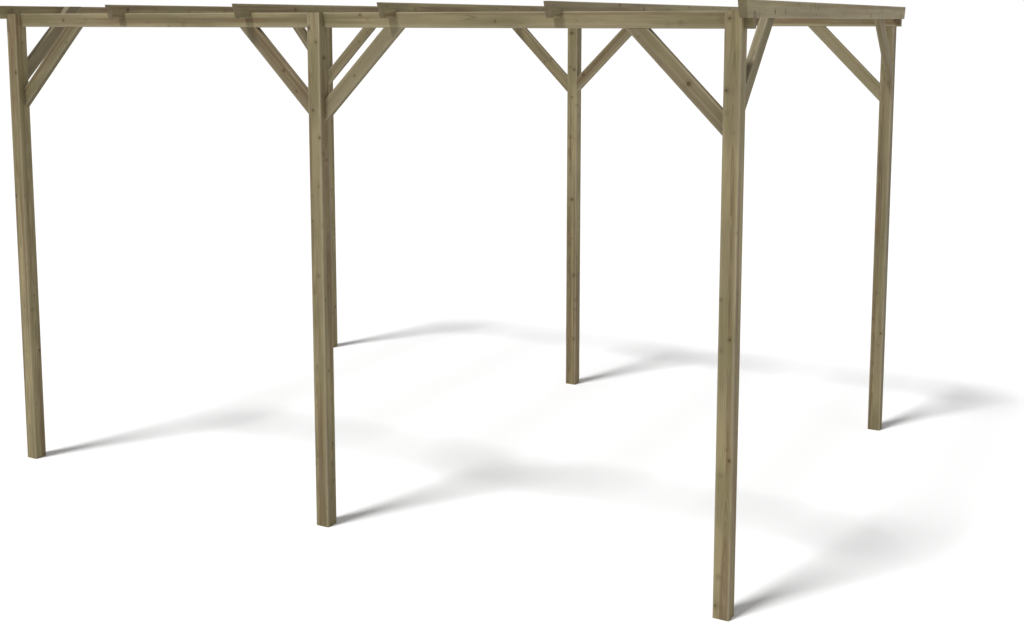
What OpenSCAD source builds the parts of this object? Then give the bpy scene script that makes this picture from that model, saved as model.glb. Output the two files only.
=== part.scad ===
// Open timber carport frame: two rows of three square posts, a beam let into the
// inner half of each row, rafters notched over both beams, and 45 degree knee braces.
// Millimetres, +Z up. The origin is on the ground at the centre of the plan,
// +X runs along the rows and +Y from the front row to the rear row.

/* [Frame] */
// Distance between the end posts of a row, centre to centre
row_length = 5200; // [3800:50:6600]
// Distance between the two rows, centre to centre
row_spacing = 3546; // [2800:2:4400]
// Height from the ground to the top of the rafters
frame_h = 3240; // [2400:10:4000]

/* [Posts] */
// Side of the square post
post_w = 90; // [70:5:125]

/* [Beams] */
// Thickness of a beam, which is also how deep it is let into the posts
beam_t = 45; // [30:1:60]
// Depth of a beam, top to bottom
beam_h = 90; // [70:5:150]

/* [Rafters] */
// Number of rafters, equally spaced
rafter_count = 6; // [4:1:10]
// Thickness of a rafter
rafter_t = 45; // [30:1:60]
// Depth of a rafter, top to bottom
rafter_h = 90; // [70:5:150]
// Depth of the notch that seats a rafter on the beams
rafter_notch = 35; // [10:1:45]
// How far the top of a rafter reaches past the outer face of the posts
tail_top = 74; // [40:1:300]
// How much shorter the underside of the tail is than its top
tail_bevel = 32; // [0:1:40]

/* [Knee braces] */
// Thickness of a brace
brace_t = 45; // [30:1:60]
// Width of a brace across its slope
brace_w = 90; // [60:5:120]
// Height, and equally the reach, of the long edge of a brace
brace_leg = 556; // [350:2:700]

/* [Timber finish] */
// Radius of the eased long edges of every timber
ease_r = 4; // [1:0.5:8]

/* [Hidden] */
$fn = 32;

rafter_z = frame_h - rafter_h;           // underside of the rafters
beam_top_z = rafter_z + rafter_notch;    // top of the beams and posts
beam_z = beam_top_z - beam_h;            // underside of the beams
inner_y = row_spacing / 2 - post_w / 2;  // inner faces of both rows, from the centre
outer_x = row_length / 2 + post_w / 2;   // outer faces of the end posts
beam_length = 2 * (outer_x + rafter_t);  // beams end flush with the end rafters
rafter_top_y = row_spacing / 2 + post_w / 2 + tail_top;
rafter_low_y = rafter_top_y - tail_bevel;
rafter_pitch = 2 * (outer_x + rafter_t / 2) / (rafter_count - 1);
cut = 10;                                // how far a cutting solid passes the wood

// Each row: name and side of the centre line
ROWS = [["front", -1], ["rear", 1]];
// Each place along a row: name and position as a share of half the row
PLACES = [["left", -1], ["middle", 0], ["right", 1]];
// Each brace along a row: name, the place of its post and the way it leans
ROW_BRACES = [["left", -1, 1], ["middle_left", 0, -1], ["middle_right", 0, 1], ["right", 1, -1]];
// Each end of the frame: name and side
ENDS = [["left", -1], ["right", 1]];

function post_name(row, place) = str("post_", row[0], "_", place[0]);
function beam_name(row) = str("beam_", row[0]);
function rafter_name(i) = str("rafter_", i + 1);
function row_brace_name(row, brace) = str("brace_", row[0], "_", brace[0]);
function end_brace_name(end, row) = str("brace_", end[0], "_end_", row[0]);
function place_x(share) = share * row_length / 2;

// Rounded rectangle with one corner at the origin
module eased_section(a, b) {
    union() {
        translate([ease_r, 0]) square([a - 2 * ease_r, b]);
        translate([0, ease_r]) square([a, b - 2 * ease_r]);
        for (x = [ease_r, a - ease_r], y = [ease_r, b - ease_r])
            translate([x, y]) circle(r = ease_r);
    }
}

// Timber along +X from the origin, centred on Y, with its underside at z = 0
module timber(length, thick, depth) {
    rotate([90, 0, 90]) translate([-thick / 2, 0, 0])
        linear_extrude(height = length) eased_section(thick, depth);
}

// Upright post on the ground; its top inner half is housed out for the beam.
// It is drawn for the front row, where +Y faces the other row.
module post() {
    housing_y = post_w / 2 - beam_t;
    color("#81775f")
    difference() {
        translate([-post_w / 2, -post_w / 2, 0])
            linear_extrude(height = beam_top_z) eased_section(post_w, post_w);
        translate([-post_w / 2 - cut, housing_y, beam_z])
            cube([post_w + 2 * cut, beam_t + cut, beam_h + cut]);
    }
}

// Beam of one row, flush with the inner faces of its posts
module beam(side) {
    color("#857b64")
    translate([-beam_length / 2, side * (inner_y + beam_t / 2), beam_z])
        timber(beam_length, beam_t, beam_h);
}

// Rafter across both rows, centred on X, with bevelled tails and two seat notches
module rafter() {
    rake = tail_bevel / rafter_h;
    color("#7a715a")
    difference() {
        translate([0, -rafter_top_y, rafter_z]) rotate([0, 0, 90])
            timber(2 * rafter_top_y, rafter_t, rafter_h);
        for (side = [-1, 1]) {
            translate([-rafter_t / 2 - cut, side * (inner_y + beam_t / 2) - beam_t / 2, rafter_z - cut])
                cube([rafter_t + 2 * cut, beam_t, rafter_notch + cut]);
            scale([1, side, 1]) translate([-rafter_t / 2 - cut, 0, 0]) rotate([90, 0, 90])
                linear_extrude(height = rafter_t + 2 * cut)
                polygon([
                    [rafter_low_y - rake * cut, rafter_z - cut],
                    [rafter_top_y + rake * cut, frame_h + cut],
                    [rafter_top_y + 2 * cut, frame_h + cut],
                    [rafter_top_y + 2 * cut, rafter_z - cut]
                ]);
        }
    }
}

// Knee brace in the XZ plane, rising towards +X at 45 degrees. Its foot is cut
// plumb against x = 0 and its head level at z = 0.
module brace() {
    run = brace_leg * sqrt(2);
    color("#7f755d")
    difference() {
        translate([0, 0, -brace_leg]) rotate([0, -45, 0])
            translate([-brace_w, 0, 0]) timber(run + 2 * brace_w, brace_t, brace_w);
        translate([-brace_leg, -brace_t, -2 * brace_leg])
            cube([brace_leg, 2 * brace_t, 3 * brace_leg]);
        translate([-brace_leg, -brace_t, 0])
            cube([3 * brace_leg, 2 * brace_t, brace_leg]);
    }
}

// Brace from a post to the beam above it, flush with their inner faces
module row_brace(side, place, lean) {
    translate([place_x(place) + lean * post_w / 2, side * (inner_y + brace_t / 2), beam_z])
        mirror([lean < 0 ? 1 : 0, 0, 0]) brace();
}

// Brace from an end post to the end rafter, flush with the post's outer face and
// lying against the rafter, with its head flush with the rafter's top
module end_brace(end, side) {
    translate([end * (outer_x - brace_t / 2), side * inner_y, frame_h])
        rotate([0, 0, side < 0 ? 90 : -90]) brace();
}

for (row = ROWS) for (place = PLACES)
    translate([place_x(place[1]), row[1] * row_spacing / 2, 0])
            rotate([0, 0, row[1] < 0 ? 0 : 180]) post();

for (row = ROWS)
    beam(row[1]);

for (i = [0 : rafter_count - 1])
    translate([(i - (rafter_count - 1) / 2) * rafter_pitch, 0, 0]) rafter();

for (row = ROWS) for (brace = ROW_BRACES)
    row_brace(row[1], brace[1], brace[2]);

for (end = ENDS) for (row = ROWS)
    end_brace(end[1], row[1]);
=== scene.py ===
"""Looks of the timber carport frame: weathered softwood, floor, light and camera."""
import math
import random

import bpy
from mathutils import Matrix, Vector


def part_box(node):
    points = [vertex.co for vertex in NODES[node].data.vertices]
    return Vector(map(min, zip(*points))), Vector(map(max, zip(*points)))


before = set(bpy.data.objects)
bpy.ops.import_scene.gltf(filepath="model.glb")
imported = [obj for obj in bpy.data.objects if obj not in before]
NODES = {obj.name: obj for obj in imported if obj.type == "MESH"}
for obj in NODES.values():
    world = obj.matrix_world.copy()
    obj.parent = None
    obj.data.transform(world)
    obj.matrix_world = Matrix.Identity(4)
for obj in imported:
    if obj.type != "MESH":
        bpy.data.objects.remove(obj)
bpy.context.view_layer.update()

# ---------------------------------------------------------------- timber measures, metres

RING = 0.0042              # mean width of a growth ring
KNOT_GAP = 0.094           # mean distance between knots
KNOT_R = (0.0050, 0.0135)  # smallest and largest radius of a knot
SAPWOOD = (0.098, 0.114)   # where the paler sapwood begins, out from the pith
EASE = 0.016               # width of the painted highlight, a paler strip, on an eased edge
POST_PITH = (0.0, 0.03)    # how far the pith lies from the middle of a post
BOARD_PITH = (0.035, 0.10)  # and from the middle of any thinner timber
BEAM_PITH = 0.055          # the beams' pith is above the middle, so their lower part is sapwood
BUMP_DEPTH = 0.0006

TONE = (0.97, 1.08)        # share of the wood's brightness, drawn for each timber
BEAM_TONE = 0.90           # further share for the beams
DARK_TONE = 0.78           # and for the braces and the rear right post
GREEN = (0.5, 0.95)        # strength of the treatment's green cast
TRUNK = 400                # length of trunk from which the timbers are cut


# ---------------------------------------------------------------- small shader helpers

class Graph:
    """Builds a node tree: every call adds one node and returns its output socket."""

    def __init__(self, tree):
        self.tree = tree

    def add(self, kind, inputs=(), out=0, **settings):
        made = self.tree.nodes.new(kind)
        for key, value in settings.items():
            setattr(made, key, value)
        for key, value in dict(inputs).items():
            self.feed(made.inputs[key], value)
        return made.outputs[out] if made.outputs else None

    def feed(self, socket, value):
        if isinstance(value, bpy.types.NodeSocket):
            self.tree.links.new(value, socket)
        else:
            socket.default_value = value

    def math(self, operation, a, b=0.0, c=0.0, clamp=False):
        return self.add("ShaderNodeMath", {0: a, 1: b, 2: c}, operation=operation, use_clamp=clamp)

    def vector(self, operation, a, b=(0, 0, 0), out=0):
        return self.add("ShaderNodeVectorMath", {0: a, 1: b}, out=out, operation=operation)

    def split(self, vector):
        made = self.tree.nodes.new("ShaderNodeSeparateXYZ")
        self.feed(made.inputs[0], vector)
        return made.outputs[0], made.outputs[1], made.outputs[2]

    def join(self, x, y, z):
        return self.add("ShaderNodeCombineXYZ", {0: x, 1: y, 2: z})

    def noise(self, vector, scale=1.0, detail=2.0, rough=0.5):
        return self.add("ShaderNodeTexNoise", {"Vector": vector, "Scale": scale, "Detail": detail,
                                               "Roughness": rough})

    def step(self, value, low, high, to_low=0.0, to_high=1.0):
        return self.add("ShaderNodeMapRange", {0: value, 1: low, 2: high, 3: to_low, 4: to_high},
                        interpolation_type="SMOOTHSTEP")

    def mix(self, share, a, b, blend="MIX"):
        made = self.tree.nodes.new("ShaderNodeMix")
        made.data_type, made.blend_type = "RGBA", blend
        self.feed(made.inputs[0], share)
        self.feed(made.inputs[6], a)
        self.feed(made.inputs[7], b)
        return made.outputs[2]


def colour(r, g, b):
    """An sRGB colour of 0 to 255 as the linear colour that a shader takes."""
    def linear(v):
        v /= 255
        return v / 12.92 if v <= 0.04045 else ((v + 0.055) / 1.055) ** 2.4
    return linear(r), linear(g), linear(b), 1.0


# ---------------------------------------------------------------- softwood

BROWN_STREAK = colour(116, 96, 67)
TAN_STREAK = colour(160, 149, 111)
FINE_STREAK = colour(158, 146, 114)
OLIVE = colour(122, 117, 80)
GREY_PATCH = colour(138, 124, 101)
HEARTWOOD_TINT = colour(136, 121, 91)
SAPWOOD_TINT = colour(164, 153, 124)
LATEWOOD = colour(92, 76, 54)
FIBRE = colour(82, 70, 52)
KNOT_RIM = colour(62, 46, 26)
KNOT_HEART = colour(84, 63, 38)
KNOT_HALO = colour(92, 74, 50)
CHECK = colour(46, 37, 27)
# colour of the painted highlight on the eased edges
EDGE_HIGHLIGHT = colour(168, 157, 131)
END_GRAIN = colour(86, 74, 54)


def softwood_group():
    """Weathered, pressure-treated softwood. Its Vector runs along the timber in X, from the
    middle of its section; Seed moves the figure along the trunk, and Pith is the trunk's heart."""
    tree = bpy.data.node_groups.new("softwood", "ShaderNodeTree")
    for name, kind in (("Vector", "NodeSocketVector"), ("Normal", "NodeSocketVector"),
                       ("Pith", "NodeSocketVector"), ("Half", "NodeSocketVector"),
                       ("Seed", "NodeSocketFloat"), ("Green", "NodeSocketFloat"),
                       ("Tone", "NodeSocketFloat")):
        tree.interface.new_socket(name, in_out="INPUT", socket_type=kind)
    for name, kind in (("Color", "NodeSocketColor"), ("Roughness", "NodeSocketFloat"),
                       ("Height", "NodeSocketFloat")):
        tree.interface.new_socket(name, in_out="OUTPUT", socket_type=kind)
    g = Graph(tree)
    given = tree.nodes.new("NodeGroupInput").outputs
    result = tree.nodes.new("NodeGroupOutput").inputs

    x, y, z = g.split(given["Vector"])
    along = g.math("ADD", x, given["Seed"])
    point = g.join(along, y, z)

    # branches: each leaves a knot where it meets a face, and the grain flows round it;
    # away is the distance from the knot's middle, in its own radii
    nearest = g.add("ShaderNodeTexVoronoi", {"Vector": point, "Scale": 1 / KNOT_GAP})
    girth = g.split(nearest.node.outputs["Color"])[0]
    girth = g.math("MULTIPLY_ADD", girth, KNOT_R[1] - KNOT_R[0], KNOT_R[0])
    lump = g.math("MULTIPLY_ADD", g.noise(point, scale=130.0), 0.004, -0.002)
    away = g.math("MULTIPLY_ADD", nearest, KNOT_GAP, lump)
    away = g.math("DIVIDE", away, girth)
    knot = g.step(away, 1.0, 0.72)
    halo = g.step(away, 2.8, 0.8)

    # growth rings about the pith
    px, py, pz = g.split(given["Pith"])
    from_pith = g.join(0.0, g.math("SUBTRACT", y, py), g.math("SUBTRACT", z, pz))
    radius = g.vector("LENGTH", from_pith, out=1)
    bend = g.noise(g.vector("MULTIPLY", point, (1.1, 7.0, 7.0)), detail=3.0)
    radius = g.math("MULTIPLY_ADD", bend, 0.05, radius)
    sapwood = g.step(radius, *SAPWOOD)
    radius = g.math("MULTIPLY_ADD", along, 0.006, radius)
    radius = g.math("MULTIPLY_ADD", halo, 0.007, radius)
    uneven = g.noise(g.join(g.math("MULTIPLY", radius, 70.0), 0.0, 0.0), detail=1.0)
    turns = g.math("MULTIPLY_ADD", uneven, 2.2, g.math("DIVIDE", radius, RING))
    phase = g.math("FRACT", turns)
    late = g.math("MULTIPLY", g.step(phase, 0.25, 0.86), g.step(phase, 1.0, 0.9))

    # fibres, blotches and the treatment's green cast
    fibre = g.noise(g.vector("MULTIPLY", point, (9.0, 420.0, 420.0)), detail=3.0, rough=0.6)
    streak = g.noise(g.vector("MULTIPLY", point, (1.6, 55.0, 55.0)), detail=2.0)
    broad = g.noise(g.vector("MULTIPLY", point, (0.45, 21.0, 21.0)), detail=1.5)
    blotch = g.noise(g.vector("MULTIPLY", point, (3.4, 11.0, 11.0)), detail=3.0, rough=0.55)
    drift = g.noise(g.vector("MULTIPLY", point, (1.3, 4.0, 4.0)), detail=2.0)
    elsewhere = g.vector("ADD", point, (7.0, 3.0, 1.0))
    moss = g.noise(g.vector("MULTIPLY", elsewhere, (2.3, 9.0, 9.0)), detail=3.0)

    wood = g.mix(g.step(broad, 0.44, 0.56), BROWN_STREAK, TAN_STREAK)
    green = g.math("MULTIPLY", g.step(moss, 0.40, 0.66), given["Green"])
    wood = g.mix(green, wood, OLIVE)
    wood = g.mix(g.step(blotch, 0.46, 0.70, 0.0, 0.45), wood, GREY_PATCH)
    wood = g.mix(g.math("MULTIPLY_ADD", sapwood, -0.25, 0.25), wood, HEARTWOOD_TINT)
    wood = g.mix(g.math("MULTIPLY", sapwood, 0.5), wood, SAPWOOD_TINT)
    wood = g.mix(g.step(streak, 0.42, 0.72, 0.0, 0.30), wood, FINE_STREAK)
    wood = g.mix(g.math("MULTIPLY", late, 0.42), wood, LATEWOOD)
    wood = g.mix(g.step(fibre, 0.40, 0.75, 0.0, 0.22), wood, FIBRE)
    shade = g.math("MULTIPLY", g.step(drift, 0.3, 0.7, 0.90, 1.10), given["Tone"])
    wood = g.vector("MULTIPLY", wood, g.join(shade, shade, shade))

    # knots: a dark heart inside a darker rim, in a brown halo
    heart = g.mix(g.step(away, 0.75, 0.35), KNOT_RIM, KNOT_HEART)
    wood = g.mix(g.math("MULTIPLY", halo, 0.36), wood, KNOT_HALO)
    wood = g.mix(g.math("MULTIPLY", knot, 0.85), wood, heart)

    # drying checks: thin dark slits along the grain, and on few stretches only
    slit_at = g.noise(g.vector("MULTIPLY", point, (0.9, 34.0, 34.0)), detail=1.0)
    slit = g.step(g.math("ABSOLUTE", g.math("SUBTRACT", slit_at, 0.5)), 0.006, 0.001)
    elsewhere = g.vector("ADD", point, (3.0, 0.0, 9.0))
    here = g.step(g.noise(g.vector("MULTIPLY", elsewhere, (1.7, 5.0, 5.0))), 0.58, 0.68)
    check = g.math("MULTIPLY", slit, here)
    wood = g.mix(g.math("MULTIPLY", check, 0.75), wood, CHECK)

    # eased edges get a paler painted highlight where light catches their rounding, and cut ends are
    # darker and thirsty
    hx, hy, hz = g.split(given["Half"])
    near_y = g.step(g.math("SUBTRACT", hy, g.math("ABSOLUTE", y)), EASE, 0.0)
    near_z = g.step(g.math("SUBTRACT", hz, g.math("ABSOLUTE", z)), EASE, 0.0)
    near_edge = g.math("MULTIPLY", near_y, near_z)
    # painted highlight along the eased edges, patchy along the timber
    edge_highlight = g.math("MULTIPLY", near_edge, g.step(blotch, 0.3, 0.6, 0.4, 1.0))
    wood = g.mix(g.math("MULTIPLY", edge_highlight, 0.5), wood, EDGE_HIGHLIGHT)
    nx, ny, nz = g.split(given["Normal"])
    end = g.step(g.math("ABSOLUTE", nx), 0.55, 0.8)
    wood = g.mix(g.math("MULTIPLY", end, 0.45), wood, END_GRAIN)

    g.feed(result["Color"], wood)
    rough = g.math("MULTIPLY_ADD", late, -0.10, g.math("MULTIPLY_ADD", fibre, 0.16, 0.66))
    g.feed(result["Roughness"], rough)
    height = g.math("MULTIPLY_ADD", late, 0.5, g.math("MULTIPLY", fibre, 0.6))
    height = g.math("SUBTRACT", height, g.math("MULTIPLY", check, 1.6))
    height = g.math("ADD", height, g.math("MULTIPLY", knot, 0.7))
    g.feed(result["Height"], height)
    return tree


def timber_material(group, name, turn, middle, half, rng):
    """A material for one timber. turn is the rotation that lays its length along X."""
    mat = bpy.data.materials.new("wood_" + name)
    mat.use_nodes = True
    mat.node_tree.nodes.clear()
    g = Graph(mat.node_tree)
    place = g.add("ShaderNodeTexCoord", out=3)
    facing = g.add("ShaderNodeNewGeometry", out=1)
    angles = turn.to_euler("XYZ")
    centred = g.vector("SUBTRACT", place, middle)
    local = g.add("ShaderNodeMapping", {"Vector": centred, "Rotation": angles}, vector_type="POINT")
    normal = g.add("ShaderNodeMapping", {"Vector": facing, "Rotation": angles}, vector_type="POINT")

    made = mat.node_tree.nodes.new("ShaderNodeGroup")
    made.node_tree = group
    reach = rng.uniform(*(POST_PITH if name.startswith("post") else BOARD_PITH))
    swing = rng.uniform(0, math.tau)
    tone = rng.uniform(*TONE)
    if name.startswith("beam"):
        reach, swing = BEAM_PITH, math.pi / 2
        tone *= BEAM_TONE
    if name.startswith("brace") or name.endswith("rear_right"):
        tone *= DARK_TONE
    g.feed(made.inputs["Vector"], local)
    g.feed(made.inputs["Normal"], normal)
    g.feed(made.inputs["Pith"], (0, reach * math.cos(swing), reach * math.sin(swing)))
    g.feed(made.inputs["Half"], half)
    g.feed(made.inputs["Seed"], rng.uniform(0, TRUNK))
    g.feed(made.inputs["Green"], rng.uniform(*GREEN))
    g.feed(made.inputs["Tone"], tone)

    bump = g.add("ShaderNodeBump", {"Strength": 0.35, "Distance": BUMP_DEPTH,
                                    "Height": made.outputs["Height"]})
    skin = mat.node_tree.nodes.new("ShaderNodeBsdfPrincipled")
    g.feed(skin.inputs["Base Color"], made.outputs["Color"])
    g.feed(skin.inputs["Roughness"], made.outputs["Roughness"])
    g.feed(skin.inputs["Normal"], bump)
    skin.inputs["Specular IOR Level"].default_value = 0.3
    g.add("ShaderNodeOutputMaterial", {"Surface": skin.outputs[0]})
    return mat


def lay_along_x(name, size):
    """The rotation that turns a timber's length to X, and its half sizes, from its node's box."""
    longest = max(size)
    if name.startswith("brace"):
        yaw = Matrix.Rotation(0 if size[0] > size[1] else -math.pi / 2, 3, "Z")
        pitch = Matrix.Rotation(brace_lean(name) * math.pi / 4, 3, "Y")
        return pitch @ yaw, (longest * math.sqrt(0.5), min(size) / 2, BRACE_W / 2)
    if size[2] == longest:
        return Matrix.Rotation(math.pi / 2, 3, "Y"), (longest / 2, size[1] / 2, size[0] / 2)
    if size[1] == longest:
        return Matrix.Rotation(-math.pi / 2, 3, "Z"), (longest / 2, size[0] / 2, size[2] / 2)
    return Matrix.Identity(3), (longest / 2, size[1] / 2, size[2] / 2)


def run_axis(low, high):
    """0 for a brace that runs along X, 1 for one that runs along Y."""
    return 0 if high[0] - low[0] > high[1] - low[1] else 1


def brace_head(name):
    """The box of a brace, its run axis, and where the vertices of its head lie on that axis."""
    low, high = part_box(name)
    run = run_axis(low, high)
    mesh = NODES[name].data
    return low, high, run, [v.co[run] for v in mesh.vertices if v.co[2] > high[2] - HEAD_REACH]


def brace_lean(name):
    """1 if the brace rises towards +X or +Y, -1 if it falls."""
    low, high, run, head = brace_head(name)
    return 1 if sum(head) / len(head) > (low[run] + high[run]) / 2 else -1


def brace_width():
    """Width of a brace across its slope, from the level cut at its head."""
    head = brace_head("brace_front_left")[3]
    return (max(head) - min(head)) * math.sqrt(0.5)


HEAD_REACH = 0.001         # how far below a brace's top its head is taken to reach
BRACE_W = brace_width()


def brace_middle(name, low, high):
    """Middle of a brace's section: half its width in from the middle of its long edge."""
    middle = (Vector(low) + Vector(high)) / 2
    run = run_axis(low, high)
    inward = BRACE_W / 2 * math.sqrt(0.5)
    middle[run] -= brace_lean(name) * inward
    middle[2] += inward
    return middle


def dress_timbers():
    """Gives every timber its own cut of the same softwood."""
    group = softwood_group()
    for index, name in enumerate(sorted(NODES)):
        low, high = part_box(name)
        size = [high[i] - low[i] for i in range(3)]
        middle = (Vector(low) + Vector(high)) / 2
        if name.startswith("brace"):
            middle = brace_middle(name, low, high)
        turn, half = lay_along_x(name, size)
        mat = timber_material(group, name, turn, middle, half, random.Random(100 + index))
        slots = NODES[name].data.materials
        if not slots:
            slots.append(mat)
        for i in range(len(slots)):
            slots[i] = mat


dress_timbers()


# ---------------------------------------------------------------- floor, light and camera

FLOOR_SIDE = 400
FLOOR_WHITE = 0.80         # what the floor reflects onto the timber
FLOOR_SEEN = 0.98          # what the camera sees of it, so that only its shadows are below white
SKY = 0.30
SUN = 2.72
SUN_SPREAD = 11            # degrees across, which sets how fast a shadow softens
SUN_HEIGHT = 63.6          # degrees above the floor
SUN_HEADING = (0.40, 0.917)
FILL = 0.36                # a weak, low light on the faces that the sun leaves in shade
FILL_SPREAD = 60
FILL_HEIGHT = 12
FILL_HEADING = (-0.95, 0.31)

CAM_PLACE = (4.648, -7.889, 3.130)
CAM_TURN = 28.518
CAM_TILT = 7.027
CAM_LENS = 44.316
CAM_SHIFT = -0.14


def seen_directly(g):
    """1 for camera, mirror and glass rays, 0 for the light that falls on the timber."""
    rays = g.tree.nodes.new("ShaderNodeLightPath").outputs
    seen = g.math("MAXIMUM", rays["Is Camera Ray"], rays["Is Glossy Ray"])
    return g.math("MAXIMUM", seen, rays["Is Transmission Ray"])


def plain_floor():
    """A level floor that shows white wherever no shadow falls."""
    bpy.ops.mesh.primitive_plane_add(size=FLOOR_SIDE, location=(0, 0, 0))
    floor = bpy.context.object
    floor.name = "floor"
    mat = bpy.data.materials.new("floor_white")
    mat.use_nodes = True
    mat.node_tree.nodes.clear()
    g = Graph(mat.node_tree)
    white = g.step(seen_directly(g), 0.0, 1.0, FLOOR_WHITE, FLOOR_SEEN)
    matt = g.add("ShaderNodeBsdfDiffuse", {"Color": g.join(white, white, white)})
    g.add("ShaderNodeOutputMaterial", {"Surface": matt})
    floor.data.materials.append(mat)


def plain_light():
    """An even sky, seen as white, with a soft high sun and a weak low fill."""
    world = bpy.data.worlds.new("sky")
    bpy.context.scene.world = world
    world.use_nodes = True
    world.node_tree.nodes.clear()
    g = Graph(world.node_tree)
    strength = g.step(seen_directly(g), 0.0, 1.0, SKY, 1.0)
    sky = g.add("ShaderNodeBackground", {"Color": (1, 1, 1, 1), "Strength": strength})
    g.add("ShaderNodeOutputWorld", {"Surface": sky})

    far_lamp("sun", SUN, SUN_SPREAD, SUN_HEIGHT, SUN_HEADING)
    far_lamp("fill", FILL, FILL_SPREAD, FILL_HEIGHT, FILL_HEADING)


def far_lamp(name, energy, spread, height, heading):
    """A sun lamp, height degrees above the floor, whose light travels along heading."""
    light = bpy.data.lights.new(name, "SUN")
    light.energy = energy
    light.angle = math.radians(spread)
    lamp = bpy.data.objects.new(name, light)
    bpy.context.scene.collection.objects.link(lamp)
    towards = Vector((*heading, -math.tan(math.radians(height))))
    lamp.rotation_euler = towards.to_track_quat("-Z", "Y").to_euler()


def photo_camera():
    """A camera from the front right, a little above the beams, with a moderate downward shift."""
    data = bpy.data.cameras.new("camera")
    data.lens = CAM_LENS
    data.sensor_width = 36
    data.shift_y = CAM_SHIFT
    camera = bpy.data.objects.new("camera", data)
    camera.location = CAM_PLACE
    camera.rotation_euler = (math.radians(90 - CAM_TILT), 0, math.radians(CAM_TURN))
    bpy.context.scene.collection.objects.link(camera)
    bpy.context.scene.camera = camera


plain_floor()
plain_light()
photo_camera()
bpy.context.scene.view_settings.view_transform = "Standard"
